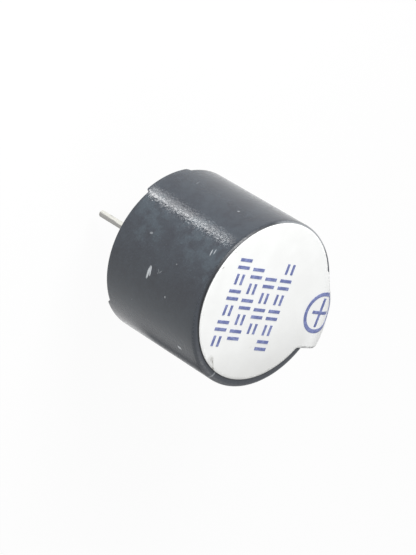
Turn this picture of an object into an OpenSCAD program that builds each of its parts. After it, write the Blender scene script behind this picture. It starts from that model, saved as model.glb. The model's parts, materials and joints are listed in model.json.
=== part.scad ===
// Self-driven magnetic buzzer in a round moulded can, for soldering through a circuit board.
// Millimetres. z = 0 is the plane of the three standoffs, which is the top of the board that the
// buzzer is soldered to. +Z runs up the can's axis to the sound hole and its sealing label.
// +X points from the axis to the positive lead. The leads hang below z = 0.

/* [Can] */
// Outside diameter of the can
can_d = 12; // [11.7:0.1:14]
// Height from the plane of the standoffs to the top face
can_h = 9.5; // [9.2:0.1:12]
// Thickness of the can's side wall
wall_t = 0.7; // [0.5:0.05:0.8]
// Thickness of the can's top
top_t = 0.8; // [0.5:0.05:1]
// Radius of the rounded top edge
rim_r = 0.4; // [0.2:0.05:0.6]
// Diameter of the sound hole
sound_hole_d = 2; // [1.5:0.1:3]
// Turn of the can and its label from the line of the leads, in degrees
can_turn = 11.4; // [0:0.2:20]

/* [Standoffs] */
// Number of standoffs round the open edge
standoff_count = 3; // [3:1:4]
// Height of the standoffs
standoff_h = 0.3; // [0.2:0.05:0.5]
// Arc that each standoff covers, in degrees
standoff_arc = 35; // [20:1:50]

/* [Leads] */
// Distance between the two leads
lead_pitch = 7.6; // [7:0.1:7.8]
// Diameter of a lead with its coat of tin
lead_d = 0.5; // [0.4:0.05:0.7]
// Thickness of the coat of tin, which ends below the potting
tin_t = 0.03; // [0.02:0.01:0.05]
// Length of the positive lead below the standoffs
positive_lead_l = 4.9; // [3:0.1:8]
// Length of the negative lead below the standoffs
negative_lead_l = 3.9; // [3:0.1:8]
// Length of a lead that stands above the circuit board inside
lead_stub = 0.5; // [0.3:0.05:0.8]
// Bevel on the cut end of a lead
lead_bevel = 0.06; // [0.02:0.02:0.12]

/* [Sealing label] */
// Thickness of the label
label_t = 0.1; // [0.06:0.02:0.16]
// Distance from the can's side to the edge of the label, all round
label_inset = 0.36; // [0.3:0.02:0.6]
// Distance that the disc sits off the can's axis, away from the tab
label_off_x = 0.22; // [0:0.02:0.3]
// Distance that the disc sits off the can's axis, to one side
label_off_y = 0.35; // [0:0.05:0.4]
// Width of the pull tab
tab_w = 5.55; // [4:0.05:6]
// Length by which the pull tab stands out past the can's side before it is bent
tab_out = 1.3; // [0.8:0.1:2]
// Radius of the tab's corners
tab_corner_r = 0.8; // [0.3:0.05:1.2]
// Radius to which the tab is bent at the middle of its width
tab_bend_r = 1.3; // [1.1:0.05:1.6]
// Change of that radius for each millimetre across the tab
tab_bend_slope = 0.3; // [0:0.02:0.34]
// Height by which the loose corner of the tab stands out past the can's edge
tab_lift = 0.6; // [0:0.05:0.8]
// Steepest slope of the tab's end, in degrees
tab_bend_max = 80; // [60:1:88]

/* [Label print] */
// Thickness of the ink
ink_t = 0.02; // [0.01:0.01:0.04]
// Distance between two rows of print
row_pitch = 1.47; // [1.3:0.01:1.6]
// Height of a row of print
row_h = 1.08; // [0.8:0.02:1.2]
// Width of a printed stroke
stroke_w = 0.22; // [0.15:0.01:0.3]
// Distance between two marks in a row
mark_pitch = 1.1; // [1:0.05:1.2]
// Radius of the ring round the polarity mark, at the middle of its stroke
polarity_ring_r = 1.36; // [1:0.02:1.5]
// Width of the ring's stroke
ring_stroke_w = 0.27; // [0.15:0.01:0.3]
// Distance from the can's side in to the centre of the polarity mark
polarity_inset = 0.5; // [0.3:0.05:0.8]
// Turn of the print on the label, in degrees
print_turn = -1.5; // [-3:0.5:3]

/* [Sounder] */
// Thickness of the diaphragm
diaphragm_t = 0.1; // [0.05:0.01:0.14]
// Room for the diaphragm's edge between its seat and the can
diaphragm_play = 0.15; // [0.1:0.01:0.25]
// Diameter of the iron disc on the diaphragm
mass_disc_d = 3.8; // [2.6:0.1:4.6]
// Thickness of the iron disc
mass_disc_t = 0.3; // [0.2:0.05:0.5]
// Air gap between the pole and the diaphragm
air_gap = 0.3; // [0.2:0.05:0.5]
// Thickness of the ring magnet, from its bore to its outside
magnet_ring_t = 1.2; // [0.9:0.05:1.3]
// Height of the ring magnet
magnet_h = 2.2; // [1.6:0.05:2.6]
// Thickness of the yoke plate
yoke_t = 0.7; // [0.5:0.05:0.9]
// Diameter of the pole core
core_d = 1.8; // [1.4:0.1:2]
// Height of the pole core above the yoke plate
core_h = 2.7; // [2.65:0.05:3]
// Diameter of the pole core's riveted end in the yoke plate
rivet_d = 1.2; // [0.8:0.1:1.3]
// Room for the coil's wires between the coil and the ring magnet
coil_room = 0.5; // [0.3:0.05:0.8]
// Height of the coil
coil_h = 2.4; // [2:0.05:2.5]
// Turns that show on the outside of the coil
coil_turns = 20; // [12:1:24]
// Thickness of a coil wire
coil_wire_d = 0.12; // [0.08:0.01:0.16]

/* [Inner frame] */
// Gap between the frame and what it fits in or holds
frame_gap = 0.05; // [0.03:0.01:0.08]
// Thickness of the frame's wall round the magnet
frame_wall_t = 0.9; // [0.7:0.05:1.1]
// Thickness of the frame's lip round the diaphragm
lip_t = 0.25; // [0.15:0.01:0.3]
// Width of the diaphragm's edge that the can's step covers
diaphragm_hold = 0.25; // [0.1:0.05:0.35]
// Height of the room for parts between the board and the frame's ledge
parts_room = 1.1; // [1:0.05:1.4]
// Thickness of the frame's ledge under the yoke plate
ledge_t = 0.3; // [0.2:0.05:0.5]
// Width of the ledge under the yoke plate
ledge_w = 0.65; // [0.4:0.05:0.7]
// Thickness of the frame's skirt round the parts on the board
skirt_t = 0.5; // [0.3:0.05:0.55]

/* [Circuit board] */
// Depth of the potting's face inside the can's open edge
potting_recess = 0.3; // [0.1:0.05:0.5]
// Thickness of the potting under the board
potting_t = 0.7; // [0.5:0.05:0.9]
// Radius of the potting's hollow edge up the can's wall
meniscus_r = 0.2; // [0.1:0.05:0.25]
// Thickness of the circuit board
board_t = 0.8; // [0.6:0.05:1]
// Gap between the board and the can
board_gap = 0.05; // [0.03:0.01:0.1]
// Thickness of the copper on the board
copper_t = 0.04; // [0.03:0.01:0.06]
// Width of a copper track
track_w = 0.35; // [0.25:0.05:0.45]
// Width of the copper land round a lead's hole
lead_land_w = 0.4; // [0.3:0.05:0.5]
// Width of the solder round a lead, at its foot
lead_solder_w = 0.35; // [0.2:0.05:0.4]
// Height of the solder round a lead
lead_solder_h = 0.38; // [0.25:0.02:0.5]
// Height of the solder at the small parts
chip_solder_h = 0.2; // [0.12:0.02:0.3]

/* [Hidden] */
$fn = 96;
EPS = 0.01;

// Levels, from the standoffs up
rim_z = standoff_h;
potting_z = rim_z + potting_recess;
board_z = potting_z + potting_t;
board_top_z = board_z + board_t;
copper_top_z = board_top_z + copper_t;
ledge_z = board_top_z + parts_room;
yoke_z = ledge_z + ledge_t;
magnet_z = yoke_z + yoke_t;
core_top_z = magnet_z + core_h;
seat_z = core_top_z + air_gap;
diaphragm_top_z = seat_z + diaphragm_t;
step_z = diaphragm_top_z + diaphragm_play;
ceiling_z = can_h - top_t;
label_z = can_h;
ink_z = label_z + label_t;

// Radii, from the outside in
can_r = can_d / 2;
can_in_r = can_r - wall_t;
can_flat_r = can_r - rim_r;
mouth_bevel = 0.12;
frame_r = can_in_r - frame_gap;
lip_in_r = frame_r - lip_t;
diaphragm_r = lip_in_r - frame_gap;
cavity_r = diaphragm_r - diaphragm_hold;
frame_bore_r = frame_r - frame_wall_t;
magnet_r = frame_bore_r - frame_gap;
magnet_bore_r = magnet_r - magnet_ring_t;
coil_r = magnet_bore_r - coil_room;
core_r = core_d / 2;
board_r = can_in_r - board_gap;
coil_fit = 0.03;

// Leads and their holes, pads and solder
lead_r = lead_d / 2;
wire_core_r = lead_r - tin_t;
lead_hole_gap = 0.05;
lead_hole_r = wire_core_r + lead_hole_gap;
lead_pad_r = lead_hole_r + lead_land_w;
lead_solder_top_w = 0.07;
lead_fillet_r = 0.12;
tin_top_z = potting_z - lead_fillet_r;
lead_pocket_gap = 0.1;

// Magnet and core details
edge_bevel = 0.12;
rivet_head_w = 0.25;
rivet_head_h = 0.18;

// Coil wires: from the coil's lowest turns, down through the yoke plate, to the board
wire_r = coil_wire_d / 2;
wire_route_r = coil_r + coil_room / 2;
wire_hole_r = coil_room / 2;
wire_angles = [140, 220, 320];
wire_bend_r = 0.12;
turn_pitch = coil_h / coil_turns;
wire_exit_z = magnet_z + 1.5 * turn_pitch;
wire_pad_r = 0.3;
wire_solder_w = 0.18;
wire_solder_top_w = 0.05;
function wire_point(i) = wire_route_r * [cos(wire_angles[i]), sin(wire_angles[i])];

// Transistor, in a three-legged moulded case
transistor_at = [0, 1.9];
transistor_l = 2.9;
transistor_w = 1.3;
transistor_h = 0.9;
transistor_lift = 0.06;
transistor_draft = 0.08;
leg_span = 2.4;
leg_w = 0.4;
leg_t = 0.12;
leg_foot = 0.32;
leg_pitch = 1.9;
leg_pad = [0.6, 0.55];

// Chip resistor
resistor_at = [0, -2.2];
resistor_l = 2;
resistor_w = 1.25;
resistor_h = 0.5;
cap_l = 0.35;
cap_t = 0.04;
cap_pad = [0.7, 1.3];

// Label: its disc, where the tab begins inside the disc, and the steps of the tab's bent part
label_r = can_r - label_inset;
tab_half = tab_w / 2;
tab_reach = can_r + tab_out;
tab_root_w = 0.25;
tab_overlap = 0.1;
tab_root_x = sqrt(pow(label_r, 2) - pow(tab_half + label_off_y, 2)) - label_off_x - tab_root_w;
bend_steps = 14;
corner_steps = 5;
middle_steps = 7;

// Where the tab starts to bend, at a distance y across it
function bend_reach(y) = can_flat_r + tab_lift * pow(0.5 - y / tab_w, 2);
function bend_start(y) = sqrt(pow(bend_reach(y), 2) - y * y);
function bend_radius(y) = tab_bend_r - tab_bend_slope * y;

// Place on the bent label of the flat point (x, y), at height h above the label's lower face
function bent(x, y, h) =
    let (
        start = bend_start(y),
        r = bend_radius(y),
        past = max(0, x - start),
        turn = min(tab_bend_max, past / r * 180 / PI),
        straight = past - r * turn * PI / 180
    )
    [
        min(x, start) + (r + h) * sin(turn) + straight * cos(turn),
        y,
        label_z - r + (r + h) * cos(turn) - straight * sin(turn)
    ];

// How far the flat tab reaches at a distance y across it, with its rounded corners
function tab_end(y) =
    let (into = max(0, abs(y) - (tab_half - tab_corner_r)))
    tab_reach - tab_corner_r + sqrt(max(0, pow(tab_corner_r, 2) - into * into));

// Stations across the tab, close together at its rounded corners
tab_ys = concat(
    [for (i = [0 : corner_steps - 1]) -tab_half + tab_corner_r * (1 - cos(90 * i / corner_steps))],
    [for (i = [0 : middle_steps]) (tab_half - tab_corner_r) * (2 * i / middle_steps - 1)],
    [for (i = [corner_steps - 1 : -1 : 0]) tab_half - tab_corner_r * (1 - cos(90 * i / corner_steps))]
);

// Stations along the tab at a distance y across it: its root, then the bent part in equal steps
function tab_xs(y) = concat(
    [tab_root_x - tab_overlap],
    [for (i = [0 : bend_steps]) bend_start(y) + (tab_end(y) - bend_start(y)) * i / bend_steps]
);

// Rows of print: how many marks each row holds
row_marks = [6, 4, 5, 6];
row_first_x = 1;
mark_w = 0.74;
plus_l = [1.85, 2.1];
ring_steps = 72;
plus_steps = 12;

// Solid swept through sections of four points each; closed says that the last meets the first
module swept_bar(sections, closed = false) {
    n = len(sections);
    last = closed ? n - 1 : n - 2;
    sides = [
        for (i = [0 : last]) for (k = [0 : 3])
            let (a = 4 * i, b = 4 * ((i + 1) % n), k2 = (k + 1) % 4)
            each [[a + k, b + k, a + k2], [a + k2, b + k, b + k2]]
    ];
    ends = closed ? [] : [
        [0, 1, 2], [0, 2, 3],
        [4 * n - 2, 4 * n - 3, 4 * n - 4], [4 * n - 1, 4 * n - 2, 4 * n - 4]
    ];
    polyhedron(points = [for (s = sections) each s], faces = concat(sides, ends), convexity = 6);
}

// Closed sheet between an upper and a lower grid of points with the same rows and columns
module sheet(upper, lower) {
    rows = len(upper);
    cols = len(upper[0]);
    half = rows * cols;
    top = [
        for (i = [0 : rows - 2]) for (j = [0 : cols - 2])
            let (a = i * cols + j)
            each [[a, a + cols, a + 1], [a + 1, a + cols, a + cols + 1]]
    ];
    bottom = [for (f = top) [f[2] + half, f[1] + half, f[0] + half]];
    edge = concat(
        [for (j = [0 : cols - 1]) j],
        [for (i = [1 : rows - 1]) i * cols + cols - 1],
        [for (j = [cols - 2 : -1 : 0]) (rows - 1) * cols + j],
        [for (i = [rows - 2 : -1 : 1]) i * cols]
    );
    n = len(edge);
    rim = [
        for (k = [0 : n - 1])
            let (a = edge[k], b = edge[(k + 1) % n])
            each [[a, b, a + half], [b, b + half, a + half]]
    ];
    polyhedron(
        points = concat([for (row = upper) each row], [for (row = lower) each row]),
        faces = concat(top, bottom, rim),
        convexity = 6
    );
}

module ring(r_out, r_in, h) {
    difference() {
        cylinder(r = r_out, h = h);
        translate([0, 0, -EPS]) cylinder(r = r_in, h = h + 2 * EPS);
    }
}

// Disc with both edges bevelled
module bevelled_disc(r, h, bevel) {
    rotate_extrude()
        polygon([
            [0, 0], [r - bevel, 0], [r, bevel], [r, h - bevel], [r - bevel, h], [0, h]
        ]);
}

module housing() {
    color([0.2, 0.21, 0.23]) rotate(can_turn) {
        rotate_extrude() difference() {
            union() {
                translate([0, rim_z]) square([can_r, can_h - rim_r - rim_z]);
                translate([0, rim_z]) square([can_flat_r, can_h - rim_z]);
                translate([can_flat_r, can_h - rim_r]) circle(r = rim_r);
            }
            translate([0, rim_z - EPS]) square([can_in_r, step_z - rim_z + EPS]);
            translate([0, step_z - EPS]) square([cavity_r, ceiling_z - step_z + EPS]);
            square([sound_hole_d / 2, can_h + EPS]);
            polygon([
                [0, rim_z - EPS], [can_in_r + mouth_bevel + EPS, rim_z - EPS],
                [can_in_r - EPS, rim_z + mouth_bevel + EPS], [0, rim_z + mouth_bevel + EPS]
            ]);
        }
        for (i = [0 : standoff_count - 1])
            rotate(i * 360 / standoff_count - standoff_arc / 2)
                rotate_extrude(angle = standoff_arc)
                    translate([can_in_r + mouth_bevel, 0])
                        square([wall_t - mouth_bevel, rim_z + EPS]);
    }
}

module seal_label() {
    color([0.93, 0.93, 0.94]) rotate(can_turn) {
        translate([0, 0, label_z]) linear_extrude(label_t) difference() {
            translate([-label_off_x, label_off_y]) circle(r = label_r);
            translate([tab_root_x, EPS - tab_half]) square([can_r, tab_w - 2 * EPS]);
        }
        sheet(
            [for (y = tab_ys) [for (x = tab_xs(y)) bent(x, y, label_t)]],
            [for (y = tab_ys) [for (x = tab_xs(y)) bent(x, y, 0)]]
        );
    }
}

// Upright and level pairs of strokes in turn, in rows of different lengths
module row_print() {
    color([0.36, 0.42, 0.7]) rotate(can_turn + print_turn)
        for (row = [0 : len(row_marks) - 1]) for (i = [0 : row_marks[row] - 1])
            translate([
                row_first_x - row * row_pitch,
                (i - (row_marks[row] - 1) / 2) * mark_pitch,
                ink_z
            ])
                rotate((i + row) % 2 * 90) print_mark((i + row) % 2 == 0 ? row_h : mark_w);
}

// Two strokes of one length, side by side
module print_mark(l) {
    for (side = [-1, 1])
        translate([-l / 2, side * (mark_w - stroke_w) / 2 - stroke_w / 2, 0])
            cube([l, stroke_w, ink_t]);
}

// A plus in a ring, which follows the bend of the tab
module polarity_print() {
    inner = polarity_ring_r - ring_stroke_w / 2;
    outer = polarity_ring_r + ring_stroke_w / 2;
    low = label_t;
    high = label_t + ink_t;
    at = (can_r - polarity_inset) * [cos(print_turn), sin(print_turn)];
    color([0.36, 0.42, 0.7]) rotate(can_turn) {
        swept_bar([
            for (i = [0 : ring_steps - 1])
                let (a = i * 360 / ring_steps, way = [cos(a), sin(a)], p = at + inner * way, q = at + outer * way)
                [bent(p.x, p.y, low), bent(p.x, p.y, high), bent(q.x, q.y, high), bent(q.x, q.y, low)]
        ], closed = true);
        for (arm = [0, 1])
            swept_bar([
                for (i = [0 : plus_steps])
                    let (
                        s = (i / plus_steps - 0.5) * plus_l[arm],
                        along = [cos(print_turn + 90 * arm), sin(print_turn + 90 * arm)],
                        across = stroke_w / 2 * [-along.y, along.x],
                        p = at + s * along - across,
                        q = at + s * along + across
                    )
                    [bent(q.x, q.y, low), bent(q.x, q.y, high), bent(p.x, p.y, high), bent(p.x, p.y, low)]
            ]);
    }
}

module diaphragm() {
    color([0.72, 0.73, 0.74]) translate([0, 0, seat_z]) cylinder(r = diaphragm_r, h = diaphragm_t);
}

module mass_disc() {
    color([0.6, 0.61, 0.63]) translate([0, 0, diaphragm_top_z])
        bevelled_disc(mass_disc_d / 2, mass_disc_t, mass_disc_t / 5);
}

// Moulded ring: skirt on the board, ledge under the yoke plate, bore for the magnet, seat and
// lip for the diaphragm, and a pocket over each lead's solder where the skirt comes near it
module inner_frame() {
    color([0.12, 0.12, 0.13]) difference() {
        rotate_extrude() polygon([
            [frame_r, board_top_z], [frame_r, step_z], [lip_in_r, step_z], [lip_in_r, seat_z],
            [frame_bore_r, seat_z], [frame_bore_r, yoke_z], [frame_bore_r - ledge_w, yoke_z],
            [frame_bore_r - ledge_w, ledge_z], [frame_r - skirt_t, ledge_z],
            [frame_r - skirt_t, board_top_z]
        ]);
        for (side = [-1, 1]) translate([side * lead_pitch / 2, 0, board_top_z - EPS])
            cylinder(r = lead_pad_r + lead_pocket_gap, h = copper_t + lead_stub + lead_pocket_gap);
    }
}

module ring_magnet() {
    color([0.25, 0.25, 0.27]) translate([0, 0, magnet_z]) difference() {
        bevelled_disc(magnet_r, magnet_h, edge_bevel);
        translate([0, 0, -EPS]) cylinder(r = magnet_bore_r, h = magnet_h + 2 * EPS);
    }
}

module yoke_plate() {
    color([0.66, 0.67, 0.69]) translate([0, 0, yoke_z]) difference() {
        cylinder(r = magnet_r, h = yoke_t);
        translate([0, 0, -EPS]) cylinder(d = rivet_d, h = yoke_t + 2 * EPS);
        for (i = [0 : len(wire_angles) - 1])
            translate([wire_point(i).x, wire_point(i).y, -EPS])
                cylinder(r = wire_hole_r, h = yoke_t + 2 * EPS);
    }
}

// Pole with its spigot riveted over below the yoke plate
module pole_core() {
    color([0.7, 0.71, 0.73]) {
        translate([0, 0, yoke_z - rivet_head_h])
            cylinder(r = rivet_d / 2 + rivet_head_w, h = rivet_head_h);
        translate([0, 0, yoke_z - EPS]) cylinder(d = rivet_d, h = yoke_t + 2 * EPS);
        translate([0, 0, magnet_z]) cylinder(r = core_r, h = core_h);
    }
}

// Winding bonded into one piece, with the turns of its outer layer
module coil() {
    color([0.72, 0.4, 0.2]) translate([0, 0, magnet_z]) rotate_extrude() {
        translate([core_r + coil_fit, 0]) square([coil_r - core_r - coil_fit - wire_r / 2, coil_h]);
        for (i = [0 : coil_turns - 1])
            translate([coil_r - wire_r, (i + 0.5) * turn_pitch]) circle(r = wire_r, $fn = 24);
    }
}

module coil_wires() {
    color([0.76, 0.44, 0.22])
        for (angle = wire_angles) rotate(angle) {
            translate([wire_route_r, 0, copper_top_z])
                cylinder(r = wire_r, h = wire_exit_z - wire_bend_r - copper_top_z, $fn = 24);
            translate([wire_route_r - wire_bend_r, 0, wire_exit_z - wire_bend_r]) rotate([90, 0, 0])
                rotate_extrude(angle = 90) translate([wire_bend_r, 0]) circle(r = wire_r, $fn = 24);
            translate([coil_r, 0, wire_exit_z]) rotate([0, 90, 0])
                cylinder(r = wire_r, h = wire_route_r - wire_bend_r - coil_r, $fn = 24);
        }
}

module circuit_board() {
    color([0.45, 0.38, 0.2]) translate([0, 0, board_z]) difference() {
        cylinder(r = board_r, h = board_t);
        for (side = [-1, 1])
            translate([side * lead_pitch / 2, 0, -EPS])
                cylinder(r = lead_hole_r, h = board_t + 2 * EPS);
    }
}

// Corners of the transistor's three feet and the resistor's two ends, as centres of their pads
leg_base = [transistor_at.x + leg_pitch / 2, transistor_at.y - leg_span / 2 + leg_foot / 2];
leg_emitter = [transistor_at.x - leg_pitch / 2, transistor_at.y - leg_span / 2 + leg_foot / 2];
leg_collector = [transistor_at.x, transistor_at.y + leg_span / 2 - leg_foot / 2];
cap_left = [resistor_at.x - resistor_l / 2, resistor_at.y];
cap_right = [resistor_at.x + resistor_l / 2, resistor_at.y];

module pad(at, size) {
    translate([at.x - size.x / 2, at.y - size.y / 2, 0]) cube([size.x, size.y, copper_t]);
}

module round_pad(at, r) {
    translate([at.x, at.y, 0]) cylinder(r = r, h = copper_t);
}

module track(from, to) {
    run = to - from;
    translate([from.x, from.y, 0]) rotate(atan2(run.y, run.x))
        translate([0, -track_w / 2, 0]) cube([norm(run), track_w, copper_t]);
}

// Supply to the coil's tap, drive end to the collector, feedback end to the resistor, resistor
// to the base, emitter to the negative lead
module copper_tracks() {
    positive = [lead_pitch / 2, 0];
    negative = [-lead_pitch / 2, 0];
    color([0.8, 0.5, 0.3]) translate([0, 0, board_top_z]) difference() {
        union() {
            round_pad(positive, lead_pad_r);
            track(positive, wire_point(2));
            round_pad(wire_point(2), wire_pad_r);

            round_pad(wire_point(0), wire_pad_r);
            track(wire_point(0), leg_collector);
            pad(leg_collector, leg_pad);

            round_pad(wire_point(1), wire_pad_r);
            track(wire_point(1), cap_left);
            pad(cap_left, cap_pad);

            pad(cap_right, cap_pad);
            track(cap_right, leg_base);
            pad(leg_base, leg_pad);

            pad(leg_emitter, leg_pad);
            track(leg_emitter, negative);
            round_pad(negative, lead_pad_r);
        }
        for (at = [positive, negative])
            translate([at.x, at.y, -EPS]) cylinder(r = lead_hole_r, h = copper_t + 2 * EPS);
    }
}

module transistor_body() {
    w = transistor_w / 2;
    h = transistor_h;
    d = transistor_draft;
    color([0.1, 0.1, 0.11])
        translate([transistor_at.x - transistor_l / 2, transistor_at.y, copper_top_z + transistor_lift])
            rotate([90, 0, 90]) linear_extrude(transistor_l)
                polygon([[-w + d, 0], [w - d, 0], [w, h / 2], [w - d, h], [-w + d, h], [-w, h / 2]]);
}

// Gull-wing leg, from the middle of the body's side down to the board
module gull_leg() {
    w = transistor_w / 2;
    out = leg_span / 2;
    knee = (w + out - leg_foot) / 2;
    mid = transistor_lift + transistor_h / 2;
    face = w - transistor_draft * leg_t / (transistor_h / 2);
    rotate([90, 0, 90]) translate([0, 0, -leg_w / 2]) linear_extrude(leg_w)
        polygon([
            [w, mid], [knee, mid], [out - leg_foot, 0], [out, 0], [out, leg_t],
            [out - leg_foot + leg_t / 2, leg_t], [knee + leg_t / 2, mid + leg_t], [face, mid + leg_t]
        ]);
}

module transistor_legs() {
    color([0.75, 0.76, 0.77]) translate([transistor_at.x, transistor_at.y, copper_top_z]) {
        gull_leg();
        for (side = [-1, 1]) translate([side * leg_pitch / 2, 0, 0]) rotate(180) gull_leg();
    }
}

module resistor_body() {
    size = [resistor_l - 2 * cap_t, resistor_w, resistor_h - 2 * cap_t];
    color([0.12, 0.12, 0.13])
        translate([resistor_at.x - size.x / 2, resistor_at.y - size.y / 2, copper_top_z + cap_t])
            cube(size);
}

module resistor_caps() {
    color([0.78, 0.79, 0.8]) translate([resistor_at.x, resistor_at.y, copper_top_z]) difference() {
        for (side = [-1, 1])
            translate([side * (resistor_l - cap_l) / 2 - cap_l / 2, -resistor_w / 2, 0])
                cube([cap_l, resistor_w, resistor_h]);
        translate([-resistor_l / 2 + cap_t, -resistor_w, cap_t])
            cube([resistor_l - 2 * cap_t, 2 * resistor_w, resistor_h - 2 * cap_t]);
    }
}

// Cone of solder round a wire that stands on a pad, of the given widths past the wire
module solder_cone(w_low, w_high, r_wire, h) {
    difference() {
        cylinder(r1 = r_wire + w_low, r2 = r_wire + w_high, h = h);
        translate([0, 0, -EPS]) cylinder(r = r_wire, h = h + 2 * EPS);
    }
}

module lead_solder() {
    color([0.7, 0.71, 0.72])
        for (side = [-1, 1]) translate([side * lead_pitch / 2, 0, copper_top_z])
            solder_cone(lead_solder_w, lead_solder_top_w, wire_core_r, lead_solder_h);
}

// Wedge of solder of one leg length against a face that looks along +X
module solder_wedge(width, leg) {
    translate([0, width / 2, 0]) rotate([90, 0, 0]) linear_extrude(width)
        polygon([[0, 0], [leg, 0], [0, leg]]);
}

module chip_solder() {
    color([0.72, 0.73, 0.74]) translate([0, 0, copper_top_z]) {
        for (i = [0 : len(wire_angles) - 1])
            translate([wire_point(i).x, wire_point(i).y, 0])
                solder_cone(wire_solder_w, wire_solder_top_w, wire_r, chip_solder_h);
        for (side = [0, 180])
            translate([resistor_at.x, resistor_at.y, 0]) rotate(side)
                translate([resistor_l / 2, 0, 0]) solder_wedge(resistor_w - 2 * cap_t, chip_solder_h);
        translate([transistor_at.x, transistor_at.y, 0]) {
            rotate(90) translate([leg_span / 2, 0, 0]) solder_wedge(leg_w, leg_t);
            for (side = [-1, 1]) rotate(-90) translate([leg_span / 2, side * leg_pitch / 2, 0])
                solder_wedge(leg_w, leg_t);
        }
    }
}

// Straight round wire with bevelled ends: tinned up to the potting, and bare from there to its
// stub above the board
module lead(side, below) {
    top = board_top_z + lead_stub;
    color([0.78, 0.77, 0.74]) translate([side * lead_pitch / 2, 0, 0]) rotate_extrude() polygon([
        [0, -below], [lead_r - lead_bevel, -below], [lead_r, lead_bevel - below],
        [lead_r, tin_top_z - tin_t], [wire_core_r, tin_top_z],
        [wire_core_r, top - lead_bevel], [wire_core_r - lead_bevel, top], [0, top]
    ]);
}

module positive_lead() lead(1, positive_lead_l);

module negative_lead() lead(-1, negative_lead_l);

// Cast resin under the board, with a hollow edge up the can's wall and a small one at each lead
module potting_seal() {
    m = min(meniscus_r, potting_recess);
    color([0.08, 0.08, 0.09]) difference() {
        union() {
            translate([0, 0, potting_z]) cylinder(r = can_in_r, h = potting_t);
            rotate_extrude() difference() {
                translate([can_in_r - m, potting_z - m]) square([m, m + EPS]);
                translate([can_in_r - m, potting_z - m]) circle(r = m, $fn = 32);
            }
            for (side = [-1, 1]) translate([side * lead_pitch / 2, 0, 0])
                rotate_extrude() difference() {
                    translate([0, potting_z - lead_fillet_r])
                        square([wire_core_r + lead_fillet_r, lead_fillet_r + EPS]);
                    translate([wire_core_r + lead_fillet_r, potting_z - lead_fillet_r])
                        circle(r = lead_fillet_r, $fn = 32);
                }
        }
        for (side = [-1, 1]) translate([side * lead_pitch / 2, 0, 0])
            cylinder(r = wire_core_r, h = board_top_z);
    }
}

housing();
seal_label();
row_print();
polarity_print();
diaphragm();
mass_disc();
inner_frame();
ring_magnet();
yoke_plate();
pole_core();
coil();
coil_wires();
circuit_board();
copper_tracks();
transistor_body();
transistor_legs();
resistor_body();
resistor_caps();
lead_solder();
chip_solder();
positive_lead();
negative_lead();
potting_seal();
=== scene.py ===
"""Dressed model of a small sealed buzzer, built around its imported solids.

Run as a script, it loads the solids, makes each visible piece in its place, gives every solid a
finish, and sets a plain studio round it. All lengths are metres, in the frame of the solids:
z = 0 is the plane of the standoffs, +Z runs up the can, and +X points to the positive lead.
"""

import json
import math

import bmesh
import bpy
import numpy as np
from bpy.props import (
    FloatProperty,
    FloatVectorProperty,
    IntProperty,
    IntVectorProperty,
    PointerProperty,
)
from mathutils import Matrix, Vector, geometry, noise


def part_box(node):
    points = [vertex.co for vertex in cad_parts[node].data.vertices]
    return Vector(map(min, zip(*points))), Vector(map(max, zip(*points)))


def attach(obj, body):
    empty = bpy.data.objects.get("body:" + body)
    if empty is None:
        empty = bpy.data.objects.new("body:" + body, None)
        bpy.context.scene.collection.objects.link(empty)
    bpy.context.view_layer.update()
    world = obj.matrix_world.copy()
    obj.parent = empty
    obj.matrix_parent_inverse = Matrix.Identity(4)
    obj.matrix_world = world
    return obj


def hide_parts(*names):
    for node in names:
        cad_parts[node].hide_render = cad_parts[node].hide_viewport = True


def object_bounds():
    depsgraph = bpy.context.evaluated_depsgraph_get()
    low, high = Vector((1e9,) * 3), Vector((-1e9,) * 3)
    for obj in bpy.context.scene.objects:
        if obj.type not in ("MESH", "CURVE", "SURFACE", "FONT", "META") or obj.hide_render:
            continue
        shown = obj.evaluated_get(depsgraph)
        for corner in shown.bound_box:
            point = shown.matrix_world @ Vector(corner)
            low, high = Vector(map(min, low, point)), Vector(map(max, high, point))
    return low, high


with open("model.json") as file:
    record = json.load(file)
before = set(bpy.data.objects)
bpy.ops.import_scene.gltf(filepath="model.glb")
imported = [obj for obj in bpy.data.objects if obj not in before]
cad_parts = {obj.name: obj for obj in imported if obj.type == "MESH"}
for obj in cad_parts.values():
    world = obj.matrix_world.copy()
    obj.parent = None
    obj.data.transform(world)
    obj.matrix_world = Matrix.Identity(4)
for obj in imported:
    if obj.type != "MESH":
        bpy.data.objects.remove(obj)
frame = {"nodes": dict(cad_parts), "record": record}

bl_info = {
    "name": "Sealed Buzzer",
    "version": (1, 0, 0),
    "blender": (4, 5, 0),
    "location": "3D View > Sidebar > Buzzer",
    "description": "Makes the visible pieces, finishes and studio of a small sealed buzzer",
    "category": "Object",
}

MM = 0.001
CAD_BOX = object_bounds()
CAN_LOW, CAN_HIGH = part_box("housing")
POSITIVE_LOW, POSITIVE_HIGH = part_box("positive_lead")
NEGATIVE_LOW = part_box("negative_lead")[0]
POTTING_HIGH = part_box("potting_seal")[1]


# Properties


def length(name, default, description):
    """A length in metres that a user may change."""
    return FloatProperty(
        name=name, description=description, default=default, unit="LENGTH", precision=6
    )


def angle(name, degrees, description):
    """An angle that a user may change, given here in degrees."""
    return FloatProperty(
        name=name, description=description, default=math.radians(degrees), unit="ROTATION"
    )


def linear(red, green, blue):
    """Linear colour of a screen colour given as three numbers from 0 to 255."""
    return tuple(
        c / 12.92 if c <= 0.04045 else ((c + 0.055) / 1.055) ** 2.4
        for c in (red / 255, green / 255, blue / 255)
    )


def colour(name, screen, description):
    """A colour, given here as a screen colour from 0 to 255."""
    return FloatVectorProperty(
        name=name, description=description, default=linear(*screen), subtype="COLOR", min=0, max=1
    )


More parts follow.
